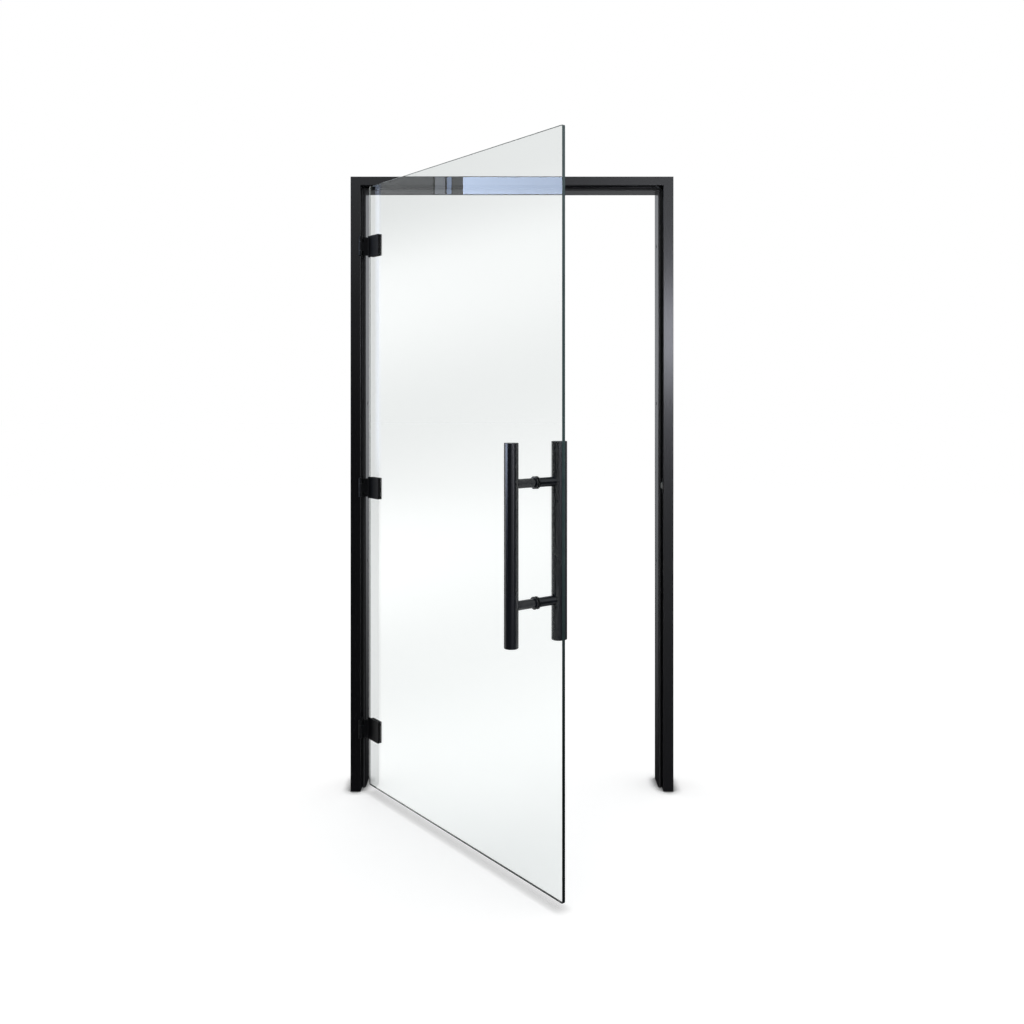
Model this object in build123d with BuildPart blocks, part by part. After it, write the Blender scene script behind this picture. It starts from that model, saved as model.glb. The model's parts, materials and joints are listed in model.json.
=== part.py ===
from build123d import *
from math import cos, radians, sin, sqrt
import os

os.makedirs("parts", exist_ok=True)

# Frame: two jambs and a head of one rebated hollow section, in millimetres
frame_width = 1067.0
frame_height = 2032.0
frame_depth = 122.0
jamb_face = 33.0
stop_height = 12.0
rebate_depth = 40.0
head_share = 0.86
frame_wall = 2.5
frame_arris = 1.0

# Groove for the seal in the face of the stop
groove_mouth = 3.0
groove_lip = 1.5
groove_width = 5.0
groove_depth = 4.5

# Seal: a hollow bulb on a stem that is pushed into the groove
seal_width = 7.0
seal_flank = 2.4
seal_wall = 1.1
seal_fit = 0.1
seal_gap = 0.3

# Wall fixings, countersunk in the stop of each jamb
fixing_hole = 6.6
fixing_head = 12.4
fixing_end = 220.0
fixing_count = 4

# Corner cleats and the screws that hold them
cleat_leg = 95.0
cleat_wall = 6.0
cleat_fit = 0.5
corner_screw_radius = 2.5
corner_screw_head = 4.6
corner_screw_length = 8.0
corner_screw_from_end = 72.0
corner_screw_pitch = 36.0

# Glass, and its gaps to the frame when it is shut
glass_thickness = 10.0
glass_setback = 24.0
edge_gap = 4.0
head_gap = 4.0
floor_gap = 20.0
glass_arris = 1.0
glass_corner = 4.0
open_angle = 52.8

# Hinges: a leaf on the jamb, a bracket that holds the glass, and a pin
lower_hinge_up = 189.0
upper_hinge_down = 198.62
clamp_height = 70.0
clamp_corner = 2.0
leaf_height = 60.0
leaf_thickness = 2.5
leaf_depth = 36.0
leaf_set = 1.0
leaf_corner = 2.0
knuckle_radius = 6.5
knuckle_gap = 0.8
leaf_knuckle = 15.0
pin_radius = 3.5
pin_head_radius = 5.0
pin_head_height = 2.0
bush_wall = 1.4
bush_length = 10.0
bush_flange_radius = 6.2
bush_flange = 1.0
running_clearance = 0.05
thrust_clearance = 0.1
arm_gap = 0.6
arm_thickness = 4.5
arm_fillet = 3.0
clamp_reach = 70.0
clamp_plate = 4.0
clamp_edge = 0.6
clamp_stop_gap = 3.0
gasket = 1.0

# Screws of the hinges, their sleeves in the glass and the plates behind the leaves
leaf_screw_radius = 2.5
leaf_screw_head = 4.5
leaf_screw_length = 11.0
leaf_screw_across = 16.0
leaf_screw_up = 38.0
backing_thickness = 5.0
backing_margin = 12.0
clamp_screw_radius = 3.0
clamp_screw_head = 6.0
clamp_screw_up = 36.0
clamp_screw_skin = 1.2
glass_hole_radius = 7.0
sleeve_fit = 0.1
thread_fit = 0.05
screw_cone = 90.0

# Pull: two tubes, back to back, on posts that clamp the glass
bar_radius = 19.0
bar_wall = 2.0
bar_length = 530.0
bar_out = 82.0
bar_cap = 4.0
bar_edge = 1.0
pull_height = 924.0
pull_setback = 113.0
post_pitch = 316.0
post_radius = 12.5
post_bore_depth = 32.0
saddle_fit = 0.05
collar_radius = 17.0
collar_thickness = 3.0
collar_edge = 0.8
pull_gasket_radius = 16.0
stud_radius = 4.0
stud_in_post = 28.0
pull_hole_radius = 8.0
grub_radius = 2.5
grub_from_collar = 14.0
grub_sunk = 0.6

# Roller catch in the rebate of the strike jamb
catch_height = 1010.0
roller_radius = 6.0
roller_height = 17.0
roller_out = 6.5
roller_clear = 0.6
roller_edge = 0.8
roller_side_gap = 0.4
roller_end_gap = 0.2
roller_pin_radius = 1.25
cheek_thickness = 2.6
cheek_front = 2.2
cheek_round = 3.0
slide_web = 4.0
slide_fit = 0.15
housing_depth = 18.0
housing_wall = 1.5
catch_plate_thickness = 1.5
catch_plate_width = 20.0
catch_plate_height = 48.0
catch_plate_corner = 3.0
cutout_fit = 0.2
catch_spring_strip = 0.5
catch_spring_width = 10.0
catch_spring_end_gap = 1.0
catch_screw_radius = 1.5
catch_screw_head = 2.7
catch_screw_length = 8.0
catch_screw_pitch = 37.0

# Frame layout
half_width = frame_width / 2
section_full = jamb_face + stop_height
web_front = rebate_depth + groove_depth
back_chamber = web_front + frame_wall
head_face = jamb_face * head_share
head_stop = stop_height * head_share
left_mitre = Plane((-half_width, 0, frame_height), x_dir=(0, 1, 0), z_dir=(head_share, 0, 1))
right_mitre = Plane((half_width, 0, frame_height), x_dir=(0, 1, 0), z_dir=(-head_share, 0, 1))
hinge_jamb_start = Plane((-half_width, 0, 0), x_dir=(1, 0, 0), z_dir=(0, 0, 1))
strike_jamb_start = Plane((half_width, 0, frame_height), x_dir=(-1, 0, 0), z_dir=(0, 0, -1))
head_start = Plane((-half_width, 0, frame_height), x_dir=(0, 0, -1), z_dir=(1, 0, 0))
fixing_pitch = (frame_height - 2 * fixing_end) / (fixing_count - 1)
fixing_heights = [fixing_end + i * fixing_pitch for i in range(fixing_count)]
fixing_depth = (rebate_depth + frame_depth) / 2

# Door layout: along the glass from the hinge axis, back from it, and up
axis_x = -half_width + jamb_face + leaf_thickness / 2
axis_y = -(knuckle_radius + knuckle_gap)
door_along = (cos(radians(open_angle)), -sin(radians(open_angle)), 0)
door = Plane((axis_x, axis_y, 0), x_dir=door_along, z_dir=(0, 0, 1))
door_through = Axis(door.origin, door.y_dir)
hinge_edge = edge_gap - leaf_thickness / 2
free_edge = half_width - jamb_face - edge_gap - axis_x
glass_width = free_edge - hinge_edge
glass_bottom = floor_gap
glass_top = frame_height - head_face - head_gap
glass_front = glass_setback - axis_y
glass_back = glass_front + glass_thickness
glass_middle = (glass_front + glass_back) / 2

# Hinge layout
lower_hinge = glass_bottom + lower_hinge_up
upper_hinge = glass_top - upper_hinge_down
hinge_heights = {"lower": lower_hinge, "middle": (lower_hinge + upper_hinge) / 2, "upper": upper_hinge}
plate_back = glass_front - gasket
plate_front = plate_back - clamp_plate
back_start = stop_height - leaf_thickness / 2 + clamp_stop_gap
back_width = clamp_reach - back_start
clamp_screw_along = (back_start + clamp_reach) / 2
arm_start = knuckle_radius + knuckle_gap + arm_gap
arm_in = leaf_thickness / 2 + arm_gap
barrel_half = leaf_height / 2 - leaf_knuckle - bush_flange - thrust_clearance
bush_radius = pin_radius + running_clearance + bush_wall
leaf_screw_depth = leaf_set + leaf_depth / 2

# Pull layout
pull_along = free_edge - pull_setback
post_start = glass_thickness / 2 + gasket + collar_thickness
post_heights = {"lower": pull_height - post_pitch / 2, "upper": pull_height + post_pitch / 2}
stud_length = 2 * (post_start + stud_in_post)

# Catch layout
reveal_x = half_width - jamb_face
roller_bite = roller_out - edge_gap
roller_chord = sqrt(roller_radius**2 - (roller_radius - roller_bite) ** 2)
catch_depth = glass_setback - roller_chord - roller_clear
cavity_width = 2 * (roller_radius + roller_side_gap)
slide_height = roller_height + 2 * (roller_end_gap + cheek_thickness)
cavity_height = slide_height + 2 * slide_fit
roller_x = reveal_x - roller_out + roller_radius
slide_front = roller_x - cheek_front
pocket_back = roller_x + roller_radius + roller_side_gap
slide_back = pocket_back + slide_web
cavity_back = reveal_x + housing_depth - housing_wall


def jamb_plane(side, across, depth, height):
    """A plane that looks out of a jamb into the opening, at a place on its section."""
    origin = (side * (half_width - across), depth, height)
    return Plane(origin, x_dir=(0, 1, 0), z_dir=(-side, 0, 0))


def on_door(along, back, height):
    """An upright plane of the door that looks to the front."""
    return Plane(door.from_local_coords((along, back, height)), x_dir=door.x_dir, z_dir=-door.y_dir)


def behind_door(along, back, height):
    """An upright plane of the door that looks to the back."""
    return Plane(door.from_local_coords((along, back, height)), x_dir=-door.x_dir, z_dir=door.y_dir)


def frame_member(start, length, face, stop):
    """A length of the frame section, drawn from its wall side inwards and from its front back."""
    full = face + stop
    with BuildPart() as member:
        with BuildSketch(start):
            with BuildLine():
                Polyline(
                    (0, 0),
                    (face, 0),
                    (face, rebate_depth),
                    (full, rebate_depth),
                    (full, frame_depth),
                    (0, frame_depth),
                    close=True,
                )
            make_face()
            fillet(vertices().sort_by_distance((face, rebate_depth))[1:], radius=frame_arris)
            with Locations((frame_wall, frame_wall)):
                Rectangle(
                    face - 2 * frame_wall,
                    web_front - frame_wall,
                    align=(Align.MIN, Align.MIN),
                    mode=Mode.SUBTRACT,
                )
            with Locations((frame_wall, back_chamber)):
                Rectangle(
                    full - 2 * frame_wall,
                    frame_depth - frame_wall - back_chamber,
                    align=(Align.MIN, Align.MIN),
                    mode=Mode.SUBTRACT,
                )
            with Locations((face + stop / 2, rebate_depth)):
                Rectangle(
                    groove_mouth,
                    groove_depth,
                    align=(Align.CENTER, Align.MIN),
                    mode=Mode.SUBTRACT,
                )
            with Locations((face + stop / 2, rebate_depth + groove_lip)):
                Rectangle(
                    groove_width,
                    groove_depth - groove_lip,
                    align=(Align.CENTER, Align.MIN),
                    mode=Mode.SUBTRACT,
                )
        extrude(amount=length)
    return member.part


def seal_strip(start, length, face, stop):
    """A length of seal: a hollow bulb on the stop, with its stem in the groove."""
    middle = face + stop / 2
    crown = glass_setback + glass_thickness + seal_gap
    with BuildPart() as strip:
        with BuildSketch(start):
            with BuildLine():
                foot = Line((middle - seal_width / 2, rebate_depth), (middle + seal_width / 2, rebate_depth))
                far = Line(foot @ 1, (middle + seal_width / 2, rebate_depth - seal_flank))
                near = Line(foot @ 0, (middle - seal_width / 2, rebate_depth - seal_flank))
                ThreePointArc(far @ 1, (middle, crown), near @ 1)
            make_face()
            offset(amount=-seal_wall, mode=Mode.SUBTRACT)
            with Locations((middle, rebate_depth)):
                Rectangle(
                    groove_mouth - 2 * seal_fit,
                    groove_depth - seal_fit,
                    align=(Align.CENTER, Align.MIN),
                )
            with Locations((middle, rebate_depth + groove_lip + seal_fit)):
                Rectangle(
                    groove_width - 2 * seal_fit,
                    groove_depth - groove_lip - 2 * seal_fit,
                    align=(Align.CENTER, Align.MIN),
                )
        extrude(amount=length)
    return strip.part


def countersunk_screws(planes, radius, head, length):
    """Flat-headed screws, each with its head flush with its plane and its shank behind it."""
    with BuildPart() as screws:
        for plane in planes:
            with BuildSketch(Plane(plane.origin, x_dir=plane.x_dir, z_dir=plane.y_dir)):
                with BuildLine():
                    Polyline(
                        (0, 0),
                        (head, 0),
                        (radius, head - radius),
                        (radius, length),
                        (0, length),
                        close=True,
                    )
                make_face()
            revolve(axis=Axis(plane.origin, plane.z_dir))
    return screws.part


def leaf_screw_planes(height):
    """Places of the four screws of a leaf, on the leaf's face."""
    return [
        jamb_plane(
            -1,
            jamb_face + leaf_thickness,
            leaf_screw_depth + across * leaf_screw_across / 2,
            height + up * leaf_screw_up / 2,
        )
        for across in (-1, 1)
        for up in (-1, 1)
    ]


def clamp_screw_planes(height, back):
    """Places of the two clamp screws of a hinge, looking to the back."""
    return [
        behind_door(clamp_screw_along, back, height + up * clamp_screw_up / 2)
        for up in (-1, 1)
    ]


def corner_screw_planes(side):
    """Places of the four screws of a corner cleat, on the wall side of the jamb and of the head."""
    middle = (back_chamber + frame_depth - frame_wall) / 2
    planes = []
    for step in (-1, 1):
        depth = middle + step * corner_screw_pitch / 2
        on_jamb = (side * half_width, depth, frame_height - corner_screw_from_end)
        on_head = (side * (half_width - corner_screw_from_end), depth, frame_height)
        planes.append(Plane(on_jamb, x_dir=(0, 1, 0), z_dir=(side, 0, 0)))
        planes.append(Plane(on_head, x_dir=(0, 1, 0), z_dir=(0, 0, 1)))
    return planes


catch_screw_planes = [
    jamb_plane(
        1,
        jamb_face + catch_plate_thickness,
        catch_depth,
        catch_height + up * catch_screw_pitch / 2,
    )
    for up in (-1, 1)
]

# Hinge jamb, with its wall fixings and the holes for the leaves
with BuildPart() as hinge_jamb:
    add(frame_member(hinge_jamb_start, frame_height, jamb_face, stop_height))
    split(bisect_by=left_mitre, keep=Keep.BOTTOM)
    with Locations(*[jamb_plane(-1, section_full, fixing_depth, z) for z in fixing_heights]):
        CounterSinkHole(fixing_hole / 2, fixing_head / 2, section_full, screw_cone)
    for height in hinge_heights.values():
        with Locations(*leaf_screw_planes(height)):
            Hole(leaf_screw_radius, leaf_screw_length)
    with Locations(*corner_screw_planes(-1)):
        CounterSinkHole(corner_screw_radius, corner_screw_head, corner_screw_length, screw_cone)
hinge_jamb.part.label = "hinge_jamb"
export_step(hinge_jamb.part, "parts/hinge_jamb.step")

# Strike jamb, with its wall fixings and the cut-out for the catch
with BuildPart() as strike_jamb:
    add(frame_member(strike_jamb_start, frame_height, jamb_face, stop_height))
    split(bisect_by=right_mitre, keep=Keep.BOTTOM)
    with Locations(*[jamb_plane(1, section_full, fixing_depth, z) for z in fixing_heights]):
        CounterSinkHole(fixing_hole / 2, fixing_head / 2, section_full, screw_cone)
    with BuildSketch(jamb_plane(1, jamb_face, catch_depth, catch_height)):
        Rectangle(
            cavity_width + 2 * (housing_wall + cutout_fit),
            cavity_height + 2 * (housing_wall + cutout_fit),
        )
    extrude(amount=-2 * frame_wall, mode=Mode.SUBTRACT)
    with Locations(*catch_screw_planes):
        Hole(catch_screw_radius, catch_screw_length)
    with Locations(*corner_screw_planes(1)):
        CounterSinkHole(corner_screw_radius, corner_screw_head, corner_screw_length, screw_cone)
strike_jamb.part.label = "strike_jamb"
export_step(strike_jamb.part, "parts/strike_jamb.step")

# Head, mitred at both ends
with BuildPart() as head:
    add(frame_member(head_start, frame_width, head_face, head_stop))
    split(bisect_by=left_mitre, keep=Keep.TOP)
    split(bisect_by=right_mitre, keep=Keep.TOP)
    with Locations(*corner_screw_planes(-1), *corner_screw_planes(1)):
        CounterSinkHole(corner_screw_radius, corner_screw_head, corner_screw_length, screw_cone)
head.part.label = "head"
export_step(head.part, "parts/head.step")

# Seals, mitred like the frame
with BuildPart() as hinge_side_seal:
    add(seal_strip(hinge_jamb_start, frame_height, jamb_face, stop_height))
    split(bisect_by=left_mitre, keep=Keep.BOTTOM)
hinge_side_seal.part.label = "hinge_side_seal"
export_step(hinge_side_seal.part, "parts/hinge_side_seal.step")

with BuildPart() as strike_side_seal:
    add(seal_strip(strike_jamb_start, frame_height, jamb_face, stop_height))
    split(bisect_by=right_mitre, keep=Keep.BOTTOM)
strike_side_seal.part.label = "strike_side_seal"
export_step(strike_side_seal.part, "parts/strike_side_seal.step")

with BuildPart() as head_seal:
    add(seal_strip(head_start, frame_width, head_face, head_stop))
    split(bisect_by=left_mitre, keep=Keep.TOP)
    split(bisect_by=right_mitre, keep=Keep.TOP)
head_seal.part.label = "head_seal"
export_step(head_seal.part, "parts/head_seal.step")

# Corner cleats: hollow angles that fill the back chamber of both members
cleat_start = frame_wall + cleat_fit
jamb_leg = section_full - 2 * cleat_start
head_leg = head_face + head_stop - 2 * cleat_start
cleat_depth = frame_depth - frame_wall - back_chamber - 2 * cleat_fit
for side, place in ((-1, "left"), (1, "right")):
    corner = (side * (half_width - cleat_start), back_chamber + cleat_fit, frame_height - cleat_start)
    with BuildPart() as cleat:
        with BuildSketch(Plane(corner, x_dir=(-side, 0, 0), z_dir=(0, -side, 0))):
            with BuildLine():
                Polyline(
                    (0, 0),
                    (cleat_leg, 0),
                    (cleat_leg, head_leg),
                    (jamb_leg, head_leg),
                    (jamb_leg, cleat_leg),
                    (0, cleat_leg),
                    close=True,
                )
            make_face()
            with Locations(((jamb_leg + cleat_leg) / 2, head_leg / 2)):
                Rectangle(
                    cleat_leg - jamb_leg - 2 * cleat_wall,
                    head_leg - 2 * cleat_wall,
                    mode=Mode.SUBTRACT,
                )
            with Locations((jamb_leg / 2, (head_leg + cleat_leg) / 2)):
                Rectangle(
                    jamb_leg - 2 * cleat_wall,
                    cleat_leg - head_leg - 2 * cleat_wall,
                    mode=Mode.SUBTRACT,
                )
        extrude(amount=-side * cleat_depth)
        with Locations(*corner_screw_planes(side)):
            Hole(corner_screw_radius, corner_screw_length)
    cleat.part.label = f"{place}_corner_cleat"
    export_step(cleat.part, f"parts/{place}_corner_cleat.step")

with BuildPart() as corner_screws:
    add(
        countersunk_screws(
            corner_screw_planes(-1) + corner_screw_planes(1),
            corner_screw_radius,
            corner_screw_head,
            corner_screw_length,
        )
    )
corner_screws.part.label = "corner_screws"
export_step(corner_screws.part, "parts/corner_screws.step")

# Glass, with holes for the clamp screws and the pull, polished at its edges
with BuildPart() as glass_panel:
    with BuildSketch(on_door((hinge_edge + free_edge) / 2, glass_front, (glass_bottom + glass_top) / 2)):
        RectangleRounded(glass_width, glass_top - glass_bottom, glass_corner)
    extrude(amount=-glass_thickness)
    glass_faces = faces().sort_by(door_through)
    front_edges = glass_faces[0].outer_wire().edges()
    back_edges = glass_faces[-1].outer_wire().edges()
    chamfer([*front_edges, *back_edges], length=glass_arris)
    for height in hinge_heights.values():
        with Locations(*clamp_screw_planes(height, glass_back)):
            Hole(glass_hole_radius, glass_thickness)
    with Locations(*[behind_door(pull_along, glass_back, z) for z in post_heights.values()]):
        Hole(pull_hole_radius, glass_thickness)
glass_panel.part.label = "glass_panel"
export_step(glass_panel.part, "parts/glass_panel.step")

# Hinges
for place, height in hinge_heights.items():
    bottom = height - leaf_height / 2
    top = height + leaf_height / 2

    # Leaf on the rebate of the jamb, with an upper and a lower knuckle in front of the frame
    with BuildPart() as leaf:
        with BuildSketch(jamb_plane(-1, jamb_face, leaf_set + leaf_depth / 2, height)):
            RectangleRounded(leaf_depth, leaf_height, leaf_corner)
        extrude(amount=leaf_thickness)
        with BuildSketch(Plane.XY.offset(bottom), Plane.XY.offset(top - leaf_knuckle)):
            with Locations((axis_x, axis_y)):
                Circle(knuckle_radius)
                Rectangle(
                    leaf_thickness,
                    leaf_set + leaf_corner - axis_y,
                    align=(Align.CENTER, Align.MIN),
                )
        extrude(amount=leaf_knuckle)
        with Locations((axis_x, axis_y, top)):
            Hole(pin_radius, leaf_height)
        with Locations(*leaf_screw_planes(height)):
            CounterSinkHole(leaf_screw_radius, leaf_screw_head, leaf_screw_length, screw_cone)
    leaf.part.label = f"{place}_jamb_leaf"
    export_step(leaf.part, f"parts/{place}_jamb_leaf.step")

    # Plate inside the jamb that takes the leaf's screws
    with BuildPart() as backing:
        with BuildSketch(jamb_plane(-1, jamb_face - frame_wall, leaf_screw_depth, height)):
            Rectangle(leaf_screw_across + backing_margin, leaf_screw_up + 2 * backing_margin)
        extrude(amount=-backing_thickness)
        with Locations(*leaf_screw_planes(height)):
            Hole(leaf_screw_radius, leaf_screw_length)
    backing.part.label = f"{place}_hinge_backing"
    export_step(backing.part, f"parts/{place}_hinge_backing.step")

    # Pin, pressed into the knuckles of the leaf, with its head on top
    with BuildPart() as pin:
        with BuildSketch(Plane.XY.offset(bottom)):
            with Locations((axis_x, axis_y)):
                Circle(pin_radius)
        extrude(amount=leaf_height)
        with BuildSketch(Plane.XY.offset(top)):
            with Locations((axis_x, axis_y)):
                Circle(pin_head_radius)
        extrude(amount=pin_head_height)
    pin.part.label = f"{place}_hinge_pin"
    export_step(pin.part, f"parts/{place}_hinge_pin.step")

    # Bracket: the middle knuckle, an arm back into the rebate and the front clamp plate
    with BuildPart() as bracket:
        with BuildSketch(on_door(arm_in, plate_back, height)):
            Rectangle(clamp_reach - arm_in, clamp_height, align=(Align.MIN, Align.CENTER))
            fillet(vertices().group_by(Axis.X)[-1], radius=clamp_corner)
        extrude(amount=clamp_plate)
        plate_face = faces().sort_by(door_through)[0]
        chamfer(plate_face.edges(), length=clamp_edge)
        with BuildSketch(door.offset(bottom)):
            with BuildLine():
                Polyline(
                    (arm_in, arm_start),
                    (arm_in + arm_thickness, arm_start),
                    (arm_in + arm_thickness, plate_front),
                    (arm_in + arm_thickness + arm_fillet, plate_front),
                    (arm_in + arm_thickness + arm_fillet, plate_back),
                    (arm_in, plate_back),
                    close=True,
                )
            make_face()
            fillet(
                vertices().sort_by_distance((arm_in + arm_thickness, plate_front))[0],
                radius=arm_fillet,
            )
        extrude(amount=leaf_height)
        with BuildSketch(door.offset(height - barrel_half)):
            Circle(knuckle_radius)
            with Locations((arm_in, 0)):
                Rectangle(arm_thickness, arm_start, align=(Align.MIN, Align.MIN))
        extrude(amount=2 * barrel_half)
        with BuildSketch(door.offset(height - barrel_half)):
            Circle(bush_radius)
        extrude(amount=2 * barrel_half, mode=Mode.SUBTRACT)
        with Locations(*clamp_screw_planes(height, plate_back)):
            Hole(clamp_screw_radius + thread_fit, clamp_plate - clamp_screw_skin)
    bracket.part.label = f"{place}_clamp_bracket"
    export_step(bracket.part, f"parts/{place}_clamp_bracket.step")

    # Bushes in the bracket's knuckle, with flanges that carry the door on the leaf
    with BuildPart() as bushes:
        for turn in (-1, 1):
            seat = height + turn * barrel_half
            with BuildSketch(door.offset(seat)):
                Circle(bush_radius)
            extrude(amount=-turn * bush_length)
            with BuildSketch(door.offset(seat)):
                Circle(bush_flange_radius)
            extrude(amount=turn * bush_flange)
            with BuildSketch(door.offset(seat + turn * bush_flange)):
                Circle(pin_radius + running_clearance)
            extrude(amount=-turn * (bush_flange + bush_length), mode=Mode.SUBTRACT)
    bushes.part.label = f"{place}_hinge_bushes"
    export_step(bushes.part, f"parts/{place}_hinge_bushes.step")

    # Gasket between the bracket and the glass
    with BuildPart() as front_gasket:
        gasket_start = hinge_edge + glass_arris
        with BuildSketch(on_door((gasket_start + clamp_reach) / 2, glass_front, height)):
            Rectangle(clamp_reach - gasket_start, clamp_height)
            fillet(vertices().group_by(Axis.X)[-1], radius=clamp_corner)
        extrude(amount=gasket)
        with Locations(*clamp_screw_planes(height, glass_front)):
            Hole(clamp_screw_radius + sleeve_fit, gasket)
    front_gasket.part.label = f"{place}_front_gasket"
    export_step(front_gasket.part, f"parts/{place}_front_gasket.step")

    # Gasket between the glass and the back plate
    with BuildPart() as back_gasket:
        with BuildSketch(behind_door(clamp_screw_along, glass_back, height)):
            RectangleRounded(back_width, clamp_height, clamp_corner)
        extrude(amount=gasket)
        with Locations(*clamp_screw_planes(height, glass_back + gasket)):
            Hole(clamp_screw_radius + sleeve_fit, gasket)
    back_gasket.part.label = f"{place}_back_gasket"
    export_step(back_gasket.part, f"parts/{place}_back_gasket.step")

    # Clamp plate behind the glass, clear of the stop when the door is shut
    with BuildPart() as back_plate:
        with BuildSketch(behind_door(clamp_screw_along, glass_back + gasket, height)):
            RectangleRounded(back_width, clamp_height, clamp_corner)
        extrude(amount=clamp_plate)
        chamfer(faces().sort_by(door_through)[-1].edges(), length=clamp_edge)
        with Locations(*clamp_screw_planes(height, glass_back + gasket + clamp_plate)):
            CounterSinkHole(clamp_screw_radius, clamp_screw_head, clamp_plate, screw_cone)
    back_plate.part.label = f"{place}_back_clamp_plate"
    export_step(back_plate.part, f"parts/{place}_back_clamp_plate.step")

# Screws of the leaves, through the jamb into the backing plates
with BuildPart() as leaf_screws:
    for height in hinge_heights.values():
        add(
            countersunk_screws(
                leaf_screw_planes(height),
                leaf_screw_radius,
                leaf_screw_head,
                leaf_screw_length,
            )
        )
leaf_screws.part.label = "leaf_screws"
export_step(leaf_screws.part, "parts/leaf_screws.step")

# Clamp screws, from the back plates through the glass into the brackets
clamp_screw_length = 2 * clamp_plate + 2 * gasket + glass_thickness - clamp_screw_skin
with BuildPart() as clamp_screws:
    for height in hinge_heights.values():
        add(
            countersunk_screws(
                clamp_screw_planes(height, glass_back + gasket + clamp_plate),
                clamp_screw_radius,
                clamp_screw_head,
                clamp_screw_length,
            )
        )
clamp_screws.part.label = "clamp_screws"
export_step(clamp_screws.part, "parts/clamp_screws.step")

# Sleeves that keep the clamp screws off the glass
with BuildPart() as clamp_sleeves:
    for height in hinge_heights.values():
        for plane in clamp_screw_planes(height, glass_back):
            with BuildSketch(plane):
                Circle(glass_hole_radius - sleeve_fit)
                Circle(clamp_screw_radius + sleeve_fit, mode=Mode.SUBTRACT)
            extrude(amount=-glass_thickness)
clamp_sleeves.part.label = "clamp_sleeves"
export_step(clamp_sleeves.part, "parts/clamp_sleeves.step")

# Pull bars, their end caps and posts, in front of the glass and behind it
bar_bottom = pull_height - bar_length / 2
for side, place in ((-1, "front"), (1, "back")):
    bar_back = glass_middle + side * bar_out

    with BuildPart() as bar:
        with BuildSketch(door.offset(bar_bottom)):
            with Locations((pull_along, bar_back)):
                Circle(bar_radius)
        extrude(amount=bar_length)
        chamfer(edges().filter_by(GeomType.CIRCLE), length=bar_edge)
        with BuildSketch(door.offset(bar_bottom)):
            with Locations((pull_along, bar_back)):
                Circle(bar_radius - bar_wall)
        extrude(amount=bar_length, mode=Mode.SUBTRACT)
    bar.part.label = f"{place}_pull_bar"
    export_step(bar.part, f"parts/{place}_pull_bar.step")

    with BuildPart() as caps:
        with BuildSketch(door.offset(bar_bottom), door.offset(bar_bottom + bar_length - bar_cap)):
            with Locations((pull_along, bar_back)):
                Circle(bar_radius - bar_wall)
        extrude(amount=bar_cap)
    caps.part.label = f"{place}_bar_caps"
    export_step(caps.part, f"parts/{place}_bar_caps.step")

    for level, height in post_heights.items():
        facing = on_door if side < 0 else behind_door
        seat = facing(pull_along, glass_middle + side * post_start, height)

        # Post, saddled to the bar and bored for the stud
        with BuildPart() as post:
            with BuildSketch(seat):
                Circle(post_radius)
            extrude(amount=bar_out - post_start)
            with BuildSketch(door.offset(height - post_radius)):
                with Locations((pull_along, bar_back)):
                    Circle(bar_radius + saddle_fit)
            extrude(amount=2 * post_radius, mode=Mode.SUBTRACT)
            with BuildSketch(seat):
                Circle(stud_radius + thread_fit)
            extrude(amount=post_bore_depth, mode=Mode.SUBTRACT)
            if side > 0:
                grub_back = glass_middle + post_start + grub_from_collar
                with BuildSketch(door.offset(height - post_radius)):
                    with Locations((pull_along, grub_back)):
                        Circle(grub_radius)
                extrude(amount=post_radius, mode=Mode.SUBTRACT)
        post.part.label = f"{place}_{level}_post"
        export_step(post.part, f"parts/{place}_{level}_post.step")

        # Collar that spreads the post's grip on the glass
        with BuildPart() as collar:
            with BuildSketch(seat):
                Circle(collar_radius)
            extrude(amount=-collar_thickness)
            chamfer(edges().filter_by(GeomType.CIRCLE).sort_by_distance(seat.origin)[0], length=collar_edge)
            with BuildSketch(seat):
                Circle(stud_radius + sleeve_fit)
            extrude(amount=-collar_thickness, mode=Mode.SUBTRACT)
        collar.part.label = f"{place}_{level}_collar"
        export_step(collar.part, f"parts/{place}_{level}_collar.step")

# Gaskets under the collars
with BuildPart() as pull_gaskets:
    for height in post_heights.values():
        planes = (
            on_door(pull_along, glass_front, height),
            behind_door(pull_along, glass_back, height),
        )
        with BuildSketch(*planes):
            Circle(pull_gasket_radius)
            Circle(stud_radius + sleeve_fit, mode=Mode.SUBTRACT)
        extrude(amount=gasket)
pull_gaskets.part.label = "pull_gaskets"
export_step(pull_gaskets.part, "parts/pull_gaskets.step")

# Sleeves round the studs in the glass
with BuildPart() as pull_sleeves:
    with BuildSketch(*[behind_door(pull_along, glass_back, z) for z in post_heights.values()]):
        Circle(pull_hole_radius - sleeve_fit)
        Circle(stud_radius + sleeve_fit, mode=Mode.SUBTRACT)
    extrude(amount=-glass_thickness)
pull_sleeves.part.label = "pull_sleeves"
export_step(pull_sleeves.part, "parts/pull_sleeves.step")

# Studs that draw the posts together through the glass
for level, height in post_heights.items():
    with BuildPart() as stud:
        with BuildSketch(on_door(pull_along, glass_middle + stud_length / 2, height)):
            Circle(stud_radius)
        extrude(amount=stud_length)
    stud.part.label = f"{level}_pull_stud"
    export_step(stud.part, f"parts/{level}_pull_stud.step")

# Grub screws that lock the back posts on the studs, from below
with BuildPart() as grub_screws:
    grub_back = glass_middle + post_start + grub_from_collar
    for height in post_heights.values():
        with BuildSketch(door.offset(height - post_radius + grub_sunk)):
            with Locations((pull_along, grub_back)):
                Circle(grub_radius)
        extrude(amount=post_radius - grub_sunk - stud_radius)
grub_screws.part.label = "grub_screws"
export_step(grub_screws.part, "parts/grub_screws.step")

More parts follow.
